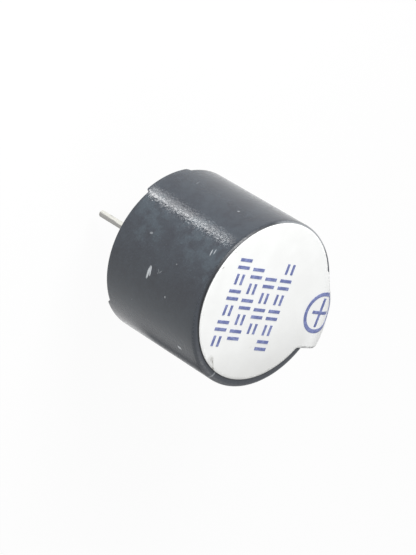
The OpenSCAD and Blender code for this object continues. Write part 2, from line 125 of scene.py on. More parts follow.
class CanSizes(bpy.types.PropertyGroup):
    """Sizes of the moulded can."""

    radius: length("Radius", (CAN_HIGH.x - CAN_LOW.x) / 2, "Outside radius of the can")
    top: length("Top", CAN_HIGH.z, "Height of the top face over the standoffs")
    turn: angle("Turn", 11.4, "Turn of the can and its label from the line of the leads")
    edge: length("Top edge", 0.4 * MM, "Radius of the rounded top edge")
    wall: length("Wall", 0.7 * MM, "Thickness of the side wall")
    ceiling: length("Ceiling", 0.8 * MM, "Thickness of the top")
    seat: length("Seat", 7.45 * MM, "Height of the step over the diaphragm")
    cavity: length("Cavity", 4.7 * MM, "Radius of the front cavity")
    sound_hole: length("Sound hole", 1 * MM, "Radius of the sound hole")
    mouth_bevel: length("Mouth bevel", 0.12 * MM, "Bevel inside the open edge")
    softness: length("Softness", 0.05 * MM, "Rounding of the open edge and the standoffs")
    standoff_count: IntProperty(
        name="Standoffs", description="Number of standoffs", default=3, min=2, max=6
    )
    standoff_height: length("Standoff height", 0.3 * MM, "Height of the standoffs")
    standoff_arc: angle("Standoff arc", 35, "Arc that each standoff covers")
    standoff_corner: length("Standoff corner", 0.22 * MM, "Radius of the corners of the standoffs")


class LabelSizes(bpy.types.PropertyGroup):
    """Sizes of the sealing label and its bent pull tab."""

    radius: length("Radius", 5.62 * MM, "Radius of the label's disc")
    off_x: length("Back offset", 0.22 * MM, "Distance of the disc off the axis, away from the tab")
    off_y: length("Side offset", 0.31 * MM, "Distance of the disc off the axis, to one side")
    thickness: length("Thickness", 0.1 * MM, "Thickness of the film")
    tab_width: length("Tab width", 5.55 * MM, "Width of the pull tab")
    tab_reach: length("Tab reach", 7.3 * MM, "Distance from the axis to the flat tab's end")
    tab_corner: length("Tab corner", 1.1 * MM, "Radius of the tab's corners")
    tab_root: length("Tab root", 0.3 * MM, "Radius of the hollow corners at the tab's root")
    flat_radius: length("Flat radius", 5.5 * MM, "Radius of the flat top, where the film lets go")
    lift: length("Lift", 0.7 * MM, "How much further out the film lets go at the loose corner")
    bend: length("Bend", 1.2 * MM, "Radius to which the tab is bent at its middle")
    bend_slope: FloatProperty(
        name="Bend slope", description="Change of the bend's radius over the width", default=0.3
    )
    steepest: angle("Steepest", 34, "Steepest slope of the tab's end")
    curl: angle("Curl", 46, "How much steeper the end is at the side that clings to the can")
    soft_edge: length("Soft edge", 0.02 * MM, "Rounding of the film's cut edge")
    grid: length("Grid", 0.17 * MM, "Distance between the mesh's points")


class PrintSizes(bpy.types.PropertyGroup):
    """Sizes of the print on the label."""

    ink: length("Ink", 0.02 * MM, "Thickness of the ink")
    turn: angle("Turn", -1.5, "Turn of the print on the label")
    row_pitch: length("Row pitch", 1.47 * MM, "Distance between two rows")
    row_first: length("First row", 1 * MM, "Place of the first row")
    row_height: length("Row height", 1.08 * MM, "Height of a row")
    row_marks: IntVectorProperty(
        name="Marks", description="Number of marks in each row", size=4, default=(6, 4, 5, 6)
    )
    mark_pitch: length("Mark pitch", 1.1 * MM, "Distance between two marks in a row")
    mark_width: length("Mark width", 0.74 * MM, "Width of a mark")
    stroke: length("Stroke", 0.22 * MM, "Width of a printed stroke")
    ring: length("Ring", 1.36 * MM, "Radius of the ring round the polarity mark")
    ring_stroke: length("Ring stroke", 0.27 * MM, "Width of the ring's stroke")
    plus_out: length("Plus out", 1.5 * MM, "Length of the plus away from the axis")
    plus_across: length("Plus across", 2.1 * MM, "Length of the plus across the tab")
    mark_at: length("Mark place", 5.5 * MM, "Distance from the axis to the polarity mark")
    sink: length("Sink", 0.004 * MM, "Depth by which the ink soaks into the film")


class LeadSizes(bpy.types.PropertyGroup):
    """Sizes of the two tinned leads."""

    radius: length("Radius", (POSITIVE_HIGH.x - POSITIVE_LOW.x) / 2, "Radius of a tinned lead")
    place: length("Place", (POSITIVE_HIGH.x + POSITIVE_LOW.x) / 2, "Distance from the axis")
    positive_tip: length("Positive tip", POSITIVE_LOW.z, "Height of the positive lead's tip")
    negative_tip: length("Negative tip", NEGATIVE_LOW.z, "Height of the negative lead's tip")
    tin_end: length("End of tin", 0.48 * MM, "Height at which the coat of tin ends")
    coat: length("Coat", 0.03 * MM, "Thickness of the coat of tin")
    bevel: length("Bevel", 0.06 * MM, "Bevel of the cut ends")
    ripple: length("Ripple", 0.008 * MM, "Depth of the dents in the tin")


class PottingSizes(bpy.types.PropertyGroup):
    """Sizes of the cast resin under the board."""

    radius: length("Radius", 5.3 * MM, "Radius of the can's mouth")
    face: length("Face", 0.6 * MM, "Height of the resin's face")
    back: length("Back", POTTING_HIGH.z, "Height of the resin's back, on the board")
    climb: length("Climb", 0.2 * MM, "How far the resin climbs the can's wall")
    lead_climb: length("Climb at leads", 0.12 * MM, "How far the resin climbs a lead")
    wave: length("Wave", 0.02 * MM, "Height of the waves in the resin's face")


class FinishColours(bpy.types.PropertyGroup):
    """Colours of the finishes."""

    can: colour("Can", (45, 49, 57), "Moulded can")
    can_cloud: colour("Cloud", (60, 69, 77), "Cooler clouds in the can's plastic")
    can_edge: colour("Can edge", (63, 67, 74), "The can's top edge, worn matt")
    # Painted shadow along the label's edge, on the can's top
    seam: colour("Seam", (26, 28, 32), "Grime along the label's edge")
    can_scuff: colour("Scuff", (186, 190, 194), "Scuffs and scratches on the can")
    label: colour("Label", (241, 242, 241), "Sealing label")
    # Also the colour of the painted shade on the label's low side
    label_dirt_and_shade: colour("Dirt", (112, 108, 99), "Dirt on the label")
    # Also the colour of the painted shade on the tab's lower side edge
    label_edge_grime_and_shade: colour("Label edge", (44, 46, 50), "Grime on the label's cut edge")
    ink: colour("Ink", (98, 108, 158), "Printing ink")
    ink_thin: colour("Thin ink", (132, 141, 186), "Printing ink where it is thin")
    tin: colour("Tin", (232, 231, 224), "Coat of tin on the leads")
    # Painted shade down one side of the leads
    tin_shade: colour("Dull tin", (163, 162, 159), "Dull side of the tin")
    resin: colour("Resin", (24, 24, 27), "Potting resin")


class StageSizes(bpy.types.PropertyGroup):
    """Camera, lamps and floor."""

    target: FloatVectorProperty(
        name="Target",
        description="Point that the camera looks at",
        default=(-0.312 * MM, -0.326 * MM, 4.251 * MM),
        unit="LENGTH",
        precision=6,
    )
    distance: length("Distance", 180 * MM, "Distance from the camera to its target")
    azimuth: angle("Azimuth", 173.263, "Direction of the camera round the can, from +X")
    elevation: angle("Elevation", 40.629, "Height of the camera over the level")
    roll: angle("Roll", 121.70, "Turn of the camera round its own axis")
    lens: FloatProperty(name="Lens", description="Focal length", default=173.93, unit="CAMERA")
    key_power: FloatProperty(name="Key", description="Power of the main lamp", default=0.058)
    fill_power: FloatProperty(name="Fill", description="Power of the fill lamp", default=0.15)
    strip_power: FloatProperty(name="Strip", description="Power of the low strips", default=0.00028)
    world: FloatProperty(name="World", description="Strength of the sky", default=0.4)
    floor: colour("Floor", (243, 243, 243), "Floor")


# Nodes


class Nodes:
    """Adds nodes to a tree, and links or sets their inputs as they are made."""

    def __init__(self, tree):
        self.tree = tree

    def feed(self, socket, value):
        """Links an output to the socket, or sets the socket's own value."""
        if isinstance(value, bpy.types.NodeSocket):
            self.tree.links.new(value, socket)
        else:
            socket.default_value = value

    def add(self, kind, inputs=None, **settings):
        """A node, with its settings, and its inputs by name or number."""
        node = self.tree.nodes.new(kind)
        for name, value in settings.items():
            setattr(node, name, value)
        for name, value in (inputs or {}).items():
            self.feed(node.inputs[name], value)
        return node

    def maths(self, operation, *values):
        """Result of one operation."""
        node = self.add("ShaderNodeMath", operation=operation)
        for socket, value in zip(node.inputs, values):
            self.feed(socket, value)
        return node.outputs[0]

    def product(self, first, *others):
        """Product of two or more values."""
        for other in others:
            first = self.maths("MULTIPLY", first, other)
        return first

    def highest(self, first, *others):
        """The highest of two or more values."""
        for other in others:
            first = self.maths("MAXIMUM", first, other)
        return first

    def rest(self, value):
        """What the value leaves of 1."""
        return self.maths("SUBTRACT", 1, value)

    def span(self, value, low, high, to_low=0.0, to_high=1.0):
        """Takes low to high smoothly to the two given values."""
        inputs = {"Value": value, "From Min": low, "From Max": high}
        inputs.update({"To Min": to_low, "To Max": to_high})
        node = self.add("ShaderNodeMapRange", inputs, interpolation_type="SMOOTHSTEP")
        return node.outputs["Result"]

    def window(self, value, stretch):
        """Rises from 0 to 1 between a stretch's first two values, and falls between its last."""
        start, full, leave, end = stretch
        return self.product(self.span(value, start, full), self.span(value, leave, end, 1, 0))

    def noise(self, at, scale, detail=2.0, roughness=0.5):
        """Noise from 0 to 1, with about scale grains in a millimetre."""
        inputs = {"Vector": at, "Scale": scale, "Detail": detail, "Roughness": roughness}
        return self.add("ShaderNodeTexNoise", inputs).outputs[0]

    def patches(self, at, scale, bounds, values=(0, 1), detail=3, roughness=0.5):
        """Noise in patches: it goes smoothly from one value to the other between the bounds."""
        return self.span(self.noise(at, scale, detail, roughness), *bounds, *values)

    def ragged(self, at, scale, detail=2.0, roughness=0.5):
        """Noise round 0, which makes an edge or a limit ragged."""
        return self.maths("SUBTRACT", self.noise(at, scale, detail, roughness), 0.5)

    def mix(self, factor, low, high):
        """Mix of two colours, which are the node's inputs 6 and 7."""
        inputs = {"Factor": factor, 6: with_alpha(low), 7: with_alpha(high)}
        return self.add("ShaderNodeMix", inputs, data_type="RGBA").outputs[2]

    def layers(self, base, *rows):
        """A base colour under further ones. A row holds a mask, its strength and a colour."""
        for mask, strength, colour_over in rows:
            base = self.mix(self.product(mask, strength), base, colour_over)
        return base

    def millimetres(self):
        """The point on the object, in millimetres."""
        at = self.add("ShaderNodeTexCoord").outputs["Object"]
        inputs = {0: at, "Scale": 1 / MM}
        return self.add("ShaderNodeVectorMath", inputs, operation="SCALE").outputs[0]

    def split(self, vector):
        """The three values of a vector."""
        return self.add("ShaderNodeSeparateXYZ", {0: vector}).outputs

    def join(self, x, y, z):
        """A vector of three values."""
        return self.add("ShaderNodeCombineXYZ", {0: x, 1: y, 2: z}).outputs[0]

    def distance(self, vector):
        """Length of a vector."""
        node = self.add("ShaderNodeVectorMath", {0: vector}, operation="LENGTH")
        return node.outputs["Value"]

    def turned(self, vector, by):
        """A vector turned about Z."""
        inputs = {"Vector": vector, "Angle": by}
        return self.add("ShaderNodeVectorRotate", inputs, rotation_type="Z_AXIS").outputs[0]


def with_alpha(value):
    """A colour with its alpha, where the value is a plain colour."""
    return value if isinstance(value, bpy.types.NodeSocket) else (*value, 1.0)


# Finishes

SHADER_INPUTS = {
    "colour": "Base Color",
    "roughness": "Roughness",
    "metallic": "Metallic",
    "specular": "Specular IOR Level",
    "normal": "Normal",
}


class Finish(Nodes):
    """The nodes of a new material. Patterns are in millimetres on the object."""

    def __init__(self, name, **constants):
        self.material = bpy.data.materials.new(name)
        self.material.use_nodes = True
        super().__init__(self.material.node_tree)
        self.shader = self.tree.nodes["Principled BSDF"]
        self.shade(**constants)

    def shade(self, **inputs):
        """Sets or links the shader's inputs."""
        for name, value in inputs.items():
            self.feed(self.shader.inputs[SHADER_INPUTS[name]], value)

    def bump(self, height, depth, strength=1.0):
        """Relief of the given depth in millimetres, from a height of 0 to 1."""
        inputs = {"Strength": strength, "Distance": depth * MM, "Height": height}
        self.shade(normal=self.add("ShaderNodeBump", inputs).outputs["Normal"])


# Marks on the can's side: azimuth from the back in degrees, height, half length and half width
# in millimetres, lean in degrees, strength
CAN_MARKS = (
    (14, 4.2, 0.32, 0.07, -3, 1.0),
    (12.5, 4.35, 0.25, 0.045, 8, 0.9),
    (9.7, 5.22, 0.12, 0.03, -40, 0.2),
    (10.5, 5.05, 0.1, 0.03, -20, 0.16),
    (9.2, 5.0, 0.06, 0.03, 20, 0.16),
    (-17.5, 8.2, 0.18, 0.03, 15, 0.6),
    (-19, 8.4, 0.15, 0.03, 10, 0.5),
    (-8.5, 2.95, 0.1, 0.06, -70, 0.3),
    (0, 6.25, 0.04, 0.035, -75, 0.3),
    (22.5, 6.25, 0.05, 0.06, 75, 0.5),
    (54.5, 7.6, 0.14, 0.09, 80, 1.0),
    (-53.5, 6.8, 0.07, 0.05, -75, 0.3),
    (-57.5, 2.15, 0.12, 0.04, 15, 0.1),
    (75.5, 9.45, 0.2, 0.04, 90, 0.5),
)
# Cooler clouds below the bright line of the can: the same values
CAN_CLOUDS = (
    (-16, 1.2, 1.3, 0.9, 80, 0.9),
    (-14, 3.6, 1.8, 0.7, 80, 0.5),
    (-18, 7.6, 1.6, 0.8, 70, 1.0),
)
# Marks on the label: place in millimetres, half length and half width, lean in degrees, strength
LABEL_MARKS = (
    (-2.08, -4.82, 0.3, 0.05, -48, 0.4),
    (-2.42, -4.54, 0.16, 0.12, -50, 0.42),
    (-2.24, -4.66, 0.1, 0.05, -55, 0.7),
    (-1.88, -5.08, 0.13, 0.06, -40, 0.75),
    (-2.45, -4.62, 0.34, 0.24, -40, 0.2),
    (-2.15, -4.9, 0.24, 0.12, -50, 0.26),
    (-5.6, 1.35, 0.09, 0.05, 60, 0.5),
    (-5.2, 2.6, 0.06, 0.05, 50, 0.3),
    (0.55, -2.9, 0.12, 0.08, 30, 0.14),
)

# How far out a mark starts to fade and where it is gone, in its half sizes
MARK_FADE = (0.5, 1.2)


def mark(nodes, plane, row, ragged, spread):
    """Mask of one long or round mark on a plane of millimetres, with a ragged edge."""
    x, y, long, wide, lean, strength = row
    inputs = {
        "Vector": plane,
        "Location": (x, y, 0),
        "Rotation": (0, 0, math.radians(lean)),
        "Scale": (long, wide, 1),
    }
    placed = nodes.add("ShaderNodeMapping", inputs, vector_type="TEXTURE").outputs[0]
    torn = nodes.maths("MULTIPLY_ADD", ragged, spread * 2, nodes.distance(placed))
    full, gone = MARK_FADE
    return nodes.product(nodes.span(torn, full + spread, gone + spread, 1, 0), strength)


def marks(nodes, plane, rows, ragged, spread):
    """The strongest of several marks at each point."""
    return nodes.highest(*(mark(nodes, plane, row, ragged, spread) for row in rows))


def off_label(scene, nodes, at):
    """Distance from the axis of the label's disc, and the place in the label's own directions."""
    label = scene.buzzer_label
    x, y, _ = nodes.split(nodes.turned(at, -scene.buzzer_can.turn))
    off_x = nodes.maths("ADD", x, label.off_x / MM)
    off_y = nodes.maths("SUBTRACT", y, label.off_y / MM)
    return nodes.distance(nodes.join(off_x, off_y, 0)), x, y


# Stretches of the can's side in degrees from the back: where each look sets in, is full, starts
# to leave and is gone
WORN_STRETCH = (-125, -112, -72, -60)
PALE_STRETCH = (12, 38, 45, 65)
DULL_STRETCH = (42, 66, 74, 102)
# The same looks' strengths
WORN_STRENGTH = 0.4
PALE_STRENGTH = 0.55
DULL_STRENGTH = 0.93
# Where the top edge's look sets in and is full, in millimetres below the top
EDGE_FADE = (0.38, 0.08)
# Where the painted shadow along the label's edge starts to fade and is gone, in millimetres past
# its edge
SEAM_SHADOW_FADE = (0.02, 0.12)


def can_plastic(scene):
    """Dark moulded plastic with a fine grain, faint clouds, scuffs, a few scratches, and a painted
    shadow along the label's edge.
    """
    colours, can = scene.buzzer_colours, scene.buzzer_can
    nodes = Finish("can_plastic")
    at = nodes.millimetres()
    x, y, z = nodes.split(at)
    back = nodes.maths("ARCTAN2", nodes.product(y, -1), nodes.product(x, -1))
    degrees = nodes.product(back, 180 / math.pi)
    radius, top = can.radius / MM, can.top / MM
    unrolled = nodes.join(nodes.product(back, radius), z, 0)
    ragged = nodes.ragged(at, 6, detail=3)

    def on_side(rows, spread):
        """Marks on the unrolled side, from their places in degrees."""
        moved = [(math.radians(row[0]) * radius, *row[1:]) for row in rows]
        return marks(nodes, unrolled, moved, ragged, spread)

    edge = nodes.span(z, *(top - below for below in EDGE_FADE))
    worn = nodes.window(degrees, WORN_STRETCH)
    unworn = nodes.rest(worn)
    worn_edge = nodes.product(worn, edge)

    blotch = nodes.patches(at, 1.1, (0.34, 0.62), roughness=0.55)
    clouds = nodes.product(on_side(CAN_CLOUDS, 1.2), blotch)
    slow_drift = nodes.patches(at, 0.5, (0.35, 0.65), (0, 0.25))
    quick_drift = nodes.patches(at, 2.3, (0.35, 0.65), (0, 0.2))
    drift = nodes.maths("ADD", slow_drift, quick_drift)
    dust = nodes.patches(at, 3.1, (0.8, 0.86), (0, 0.4), detail=1)
    scratches = on_side(CAN_MARKS, 0.5)
    scuffs = nodes.highest(scratches, dust, nodes.product(worn_edge, WORN_STRENGTH))
    from_disc = off_label(scene, nodes, at)[0]
    seam_shadow_fade = (scene.buzzer_label.radius / MM + past for past in SEAM_SHADOW_FADE)
    # Painted shadow on the can's top, next to the label's edge
    seam = nodes.product(nodes.span(from_disc, *seam_shadow_fade, 1, 0), edge, unworn)
    plastic = nodes.layers(
        colours.can,
        (nodes.highest(clouds, drift), 1, colours.can_cloud),
        (nodes.window(degrees, PALE_STRETCH), PALE_STRENGTH, colours.can_cloud),
        (edge, 0.8, colours.can_edge),
        (seam, 0.85, colours.seam),
        (scuffs, 1, colours.can_scuff),
    )

    low_fade = nodes.span(z, -0.5, 4.5)
    flank = nodes.product(nodes.window(degrees, DULL_STRETCH), low_fade, nodes.rest(edge))
    flank = nodes.product(flank, DULL_STRENGTH)
    dull_and_shade = nodes.product(nodes.highest(nodes.product(edge, 0.3), flank), unworn)
    gloss = nodes.span(worn_edge, 0, 1, 0.55, 1)
    sheen = nodes.patches(at, 5.5, (0.36, 0.64), (0.05, 0.24), detail=2)
    nodes.shade(
        colour=plastic,
        specular=nodes.product(gloss, nodes.span(dull_and_shade, 0, 1, 1, 0)),
        roughness=nodes.maths("MULTIPLY_ADD", edge, 0.3, sheen),
    )
    # This grain breaks the mirrored strips up into glints
    nodes.bump(nodes.noise(at, 5.2), 0.015)
    return nodes.material


def label_film(scene):
    """White satin film with faint clouds and dirt where its edge picked it up, painted shade
    towards its low side, and painted shade on the tab's lower side edge.
    """
    colours, label = scene.buzzer_colours, scene.buzzer_label
    nodes = Finish("label_film", specular=0.4)
    at = nodes.millimetres()
    from_centre, x, y = off_label(scene, nodes, at)
    here_x, here_y, z = nodes.split(at)
    radius, half = label.radius / MM, label.tab_width / MM / 2
    cut_top = (scene.buzzer_can.top + label.thickness - label.soft_edge) / MM

    on_disc = nodes.span(x, 4.4, 5.6, 1, 0)
    off_tab = nodes.span(x, 4.3, 4.9, 1, 0)
    on_tab = nodes.span(x, 4.7, 5.1)

    plane = nodes.join(here_x, here_y, 0)
    spots = marks(nodes, plane, LABEL_MARKS, nodes.ragged(at, 12), 0.3)
    # Painted shade: the label darkens towards its low side, but not on the tab
    to_low_side = nodes.maths("MULTIPLY_ADD", x, 0.4, nodes.product(y, -1))
    low_side_shade = nodes.product(nodes.span(to_low_side, 1.5, 6.5, 0, 0.2), on_disc)
    cloud = nodes.patches(at, 0.7, (0.3, 0.7), (0, 0.04))
    dirt_and_shade = nodes.highest(spots, nodes.maths("ADD", low_side_shade, cloud))

    fade = 0.03
    outside = nodes.span(from_centre, radius - 2 * fade, radius - fade)
    cut = nodes.product(outside, off_tab, nodes.span(z, cut_top - fade, cut_top, 1, 0), 0.9)
    broken = nodes.patches(at, 3.5, (0.38, 0.6), (0.2, 0.75))
    # Beside the grime on the cut edge, painted shade on the tab's lower side edge, broken up in
    # specks
    tab_side_shade = nodes.product(nodes.span(y, 0.06 - half, 0.2 - half, 1, 0), on_tab, broken)
    rim = nodes.highest(cut, tab_side_shade)
    nodes.shade(
        colour=nodes.layers(
            colours.label, (dirt_and_shade, 1, colours.label_dirt_and_shade), (rim, 1, colours.label_edge_grime_and_shade)
        ),
        roughness=nodes.patches(at, 4, (0.3, 0.7), (0.34, 0.46), detail=2),
    )
    nodes.bump(nodes.noise(at, 1.2), 0.02, 0.4)
    return nodes.material


def label_ink(scene):
    """Blue ink, thinner in places."""
    colours = scene.buzzer_colours
    nodes = Finish("label_ink", roughness=0.45, specular=0.4)
    at = nodes.millimetres()
    thin = nodes.patches(at, 3.5, (0.42, 0.66), detail=4, roughness=0.65)
    nodes.shade(colour=nodes.mix(thin, colours.ink, colours.ink_thin))
    nodes.bump(nodes.noise(at, 14), 0.004, 0.5)
    return nodes.material


def tinned_metal(scene):
    """Dipped tin: soft grey, with painted shade and a duller finish down the wire's -Y side and,
    half as strong, its +Y edge, and fine ripples round the wire.
    """
    colours = scene.buzzer_colours
    nodes = Finish("tinned_metal", metallic=0.85)
    at = nodes.millimetres()
    inputs = {"Vector": at, "Scale": (1, 1, 0.25)}
    along_wire = nodes.add("ShaderNodeMapping", inputs, vector_type="POINT").outputs[0]
    uneven = nodes.ragged(along_wire, 3.5, detail=4, roughness=0.6)
    facing = nodes.maths("ADD", nodes.split(at)[1], nodes.product(uneven, 0.6))
    # Painted shade: greyer and rougher down the wire's -Y side, and half as much along its +Y edge
    dull_and_shade = nodes.highest(
        nodes.span(facing, 0.02, 0.12, 1, 0), nodes.span(facing, 0.26, 0.34, 0, 0.5)
    )
    nodes.shade(
        colour=nodes.mix(dull_and_shade, colours.tin, colours.tin_shade),
        roughness=nodes.maths("MULTIPLY_ADD", dull_and_shade, 0.2, 0.3),
    )
    nodes.bump(nodes.noise(along_wire, 9, detail=3), 0.02, 0.6)
    return nodes.material


def potting_resin(scene):
    """Black cast resin: glossy, with a slow wave and pinholes."""
    colours = scene.buzzer_colours
    nodes = Finish("potting_resin")
    at = nodes.millimetres()
    dusty = nodes.patches(at, 1.6, (0.45, 0.75), (0, 0.25), detail=4)
    nodes.shade(
        colour=nodes.mix(dusty, colours.resin, colours.can_cloud),
        roughness=nodes.maths("MULTIPLY_ADD", dusty, 0.8, 0.16),
    )
    holes = nodes.add("ShaderNodeTexVoronoi", {"Vector": at, "Scale": 1.3, "Randomness": 1.0})
    pits = nodes.span(holes.outputs["Distance"], 0.04, 0.1)
    nodes.bump(nodes.maths("MULTIPLY_ADD", pits, 0.6, nodes.noise(at, 0.9)), 0.06, 0.7)
    return nodes.material


# Finishes of the parts inside the can: slot, screen colour, second colour, roughness, metallic,
# size of the grain per millimetre, depth of the grain in millimetres
INNER_FINISHES = (
    ("spring_steel", (178, 180, 183), (150, 153, 158), 0.25, 1.0, 1.5, 0.004),
    ("plated_iron", (168, 169, 172), (140, 140, 140), 0.3, 1.0, 3.0, 0.01),
    ("frame_plastic", (30, 30, 32), (44, 44, 47), 0.5, 0.0, 7.0, 0.02),
    ("ferrite", (58, 56, 57), (78, 76, 78), 0.6, 0.1, 9.0, 0.02),
    ("copper_wire", (184, 104, 60), (150, 78, 44), 0.28, 1.0, 5.0, 0.01),
    ("board_laminate", (52, 84, 52), (70, 104, 60), 0.45, 0.0, 5.0, 0.01),
    ("copper_foil", (200, 128, 84), (160, 100, 66), 0.35, 1.0, 6.0, 0.006),
    ("chip_plastic", (26, 26, 27), (46, 46, 48), 0.5, 0.0, 12.0, 0.01),
    ("chip_ceramic", (34, 34, 38), (64, 66, 72), 0.35, 0.0, 8.0, 0.008),
    ("solder", (190, 190, 192), (150, 150, 150), 0.25, 1.0, 4.0, 0.012),
)


def inner_finish(slot, main, second, roughness, metallic, grain, depth):
    """A finish of two close colours over a fine grain."""
    nodes = Finish(slot, metallic=metallic)
    at = nodes.millimetres()
    cloud = nodes.patches(at, grain / 3, (0.4, 0.65), detail=4, roughness=0.6)
    nodes.shade(
        colour=nodes.mix(cloud, linear(*main), linear(*second)),
        roughness=nodes.maths("MULTIPLY_ADD", cloud, 0.12, roughness),
    )
    nodes.bump(nodes.noise(at, grain, detail=3), depth, 0.6)
    return nodes.material


OUTER_FINISHES = {
    "can_plastic": can_plastic,
    "label_film": label_film,
    "label_ink": label_ink,
    "tinned_metal": tinned_metal,
    "potting_resin": potting_resin,
}


def finish(scene, slot):
    """The material of a slot, made the first time it is asked for."""
    for material in bpy.data.materials:
        if material.get("finish_of") == slot:
            return material
    if slot in OUTER_FINISHES:
        material = OUTER_FINISHES[slot](scene)
    else:
        material = inner_finish(*next(row for row in INNER_FINISHES if row[0] == slot))
    material["finish_of"] = slot
    return material


# Meshes


def new_object(scene, name, bm, material):
    """An object at the origin, with the mesh and its material."""
    mesh = bpy.data.meshes.new(name)
    bm.to_mesh(mesh)
    bm.free()
    mesh.materials.append(material)
    made = bpy.data.objects.new(name, mesh)
    scene.collection.objects.link(made)
    return made


def finish_piece(piece, slot, *nodes):
    """Puts the piece on the body, in place of its solids."""
    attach(piece, "root")
    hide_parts(*nodes)


def soften(bm, sharp_from):
    """Smooth faces, with a hard line where two of them meet at more than sharp_from degrees."""
    bmesh.ops.recalc_face_normals(bm, faces=bm.faces)
    for face in bm.faces:
        face.smooth = True
    for edge in bm.edges:
        if len(edge.link_faces) == 2:
            edge.smooth = edge.calc_face_angle(0) < math.radians(sharp_from)


def arc(x, y, radius, start, end, steps):
    """Points of an arc about (x, y) in a plane, from one angle to another in degrees."""
    angles = [math.radians(start + (end - start) * i / steps) for i in range(steps + 1)]
    return [(x + radius * math.cos(a), y + radius * math.sin(a)) for a in angles]


def lathe(section, azimuths, place, closed=False):
    """Turns a section of (radius, height) points about Z. place moves each point off the axis."""
    bm = bmesh.new()
    columns = []
    poles = {}
    for azimuth in azimuths:
        column = []
        for i, (radius, height) in enumerate(section):
            if radius == 0:
                if i not in poles:
                    poles[i] = bm.verts.new((0, 0, height))
                column.append(poles[i])
                continue
            point = Vector((radius * math.cos(azimuth), radius * math.sin(azimuth), height))
            column.append(bm.verts.new(place(point, i, azimuth)))
        columns.append(column)
    last = len(section) if closed else len(section) - 1
    for j, column in enumerate(columns):
        other = columns[(j + 1) % len(columns)]
        for i in range(last):
            k = (i + 1) % len(section)
            corners = []
            for v in (column[i], other[i], other[k], column[k]):
                if v not in corners:
                    corners.append(v)
            if len(corners) > 2:
                bm.faces.new(corners)
    return bm


def stepped_azimuths(count, extra=()):
    """Even azimuths in radians, with extra ones, in order and without near doubles."""
    near = 1e-4
    even = [2 * math.pi * i / count for i in range(count)]
    kept = []
    for azimuth in sorted(even + [a % (2 * math.pi) for a in extra]):
        if not kept or azimuth - kept[-1] > near:
            kept.append(azimuth)
    return kept


def can_section(s):
    """The can's section from its mouth outwards, and which of its points drop to a standoff."""
    rim = CAN_LOW.z + s.standoff_height
    inside = s.radius - s.wall
    mouth = inside + s.mouth_bevel
    soft = s.softness
    section = [(inside, rim + s.mouth_bevel), (mouth, rim)]
    first_dropped = len(section)
    section += [(mouth + soft / 3, rim)]
    section += arc(mouth + soft, rim + soft, soft, 215, 270, 3)[1:]
    section += arc(s.radius - soft, rim + soft, soft, 270, 360, 5)
    dropped = range(first_dropped, len(section))
    wall_low = rim + 2 * soft + 0.1 * MM
    wall_high = s.top - s.edge
    steps = 12
    section += [
        (s.radius, wall_low + (wall_high - wall_low) * i / steps) for i in range(steps)
    ]
    section += arc(s.radius - s.edge, wall_high, s.edge, 0, 90, 10)
    section += [
        (s.sound_hole, s.top),
        (s.sound_hole, s.top - s.ceiling),
        (s.cavity, s.top - s.ceiling),
        (s.cavity, s.seat),
        (inside, s.seat),
    ]
    return section, dropped


# A standoff's end: it falls steeply over a short ramp by the first share of its height, and then
# round its corner. The steps are where the mesh has points, in shares of the ramp and the corner
END_RAMP = math.radians(0.7)
END_STEEP_SHARE = 0.35
END_RAMP_STEPS = (0.12, 0.5, 0.88, 1.0)
END_CORNER_STEPS = (0, 0.04, 0.12, 0.25, 0.45, 0.7, 1.0)


def make_can(scene):
    """The can: one turned section, whose open edge drops to a standoff in each sector."""
    s = scene.buzzer_can
    section, dropped = can_section(s)
    pitch = 2 * math.pi / s.standoff_count
    half = s.standoff_arc / 2
    corner = s.standoff_corner / s.radius
    along_end = [END_RAMP * step for step in END_RAMP_STEPS]
    along_end += [-corner * step for step in END_CORNER_STEPS]
    extra = [
        s.turn + i * pitch + side * (half + step)
        for i in range(s.standoff_count)
        for side in (-1, 1)
        for step in along_end
    ]

    def place(point, i, azimuth):
        if i in dropped:
            off = abs((azimuth - s.turn + pitch / 2) % pitch - pitch / 2)
            steep = min(1, max(0, (half + END_RAMP - off) / END_RAMP))
            short = 1 - min(1, max(0, (half - off) / corner))
            drop = END_STEEP_SHARE * steep * steep * (3 - 2 * steep)
            drop += (1 - END_STEEP_SHARE) * math.sqrt(1 - short * short)
            point.z -= s.standoff_height * drop
        return point

    bm = lathe(section, stepped_azimuths(288, extra), place, closed=True)
    soften(bm, sharp_from=40)
    piece = new_object(scene, "can_shell", bm, finish(scene, "can_plastic"))
    finish_piece(piece, "can_plastic", "housing")


def tab_root(s, side, steps=5):
    """Hollow corner between the disc and one side of the tab, from the disc to the tab."""
    y = side * (s.tab_width / 2 + s.tab_root)
    off_y = y - s.off_y
    x = math.sqrt((s.radius + s.tab_root) ** 2 - off_y * off_y) - s.off_x
    from_disc = math.atan2(-off_y, -(x + s.off_x))
    from_disc = math.degrees(from_disc)
    to_tab = from_disc + (-side * 90 - from_disc + 180) % 360 - 180
    return arc(x, y, s.tab_root, from_disc, to_tab, steps)


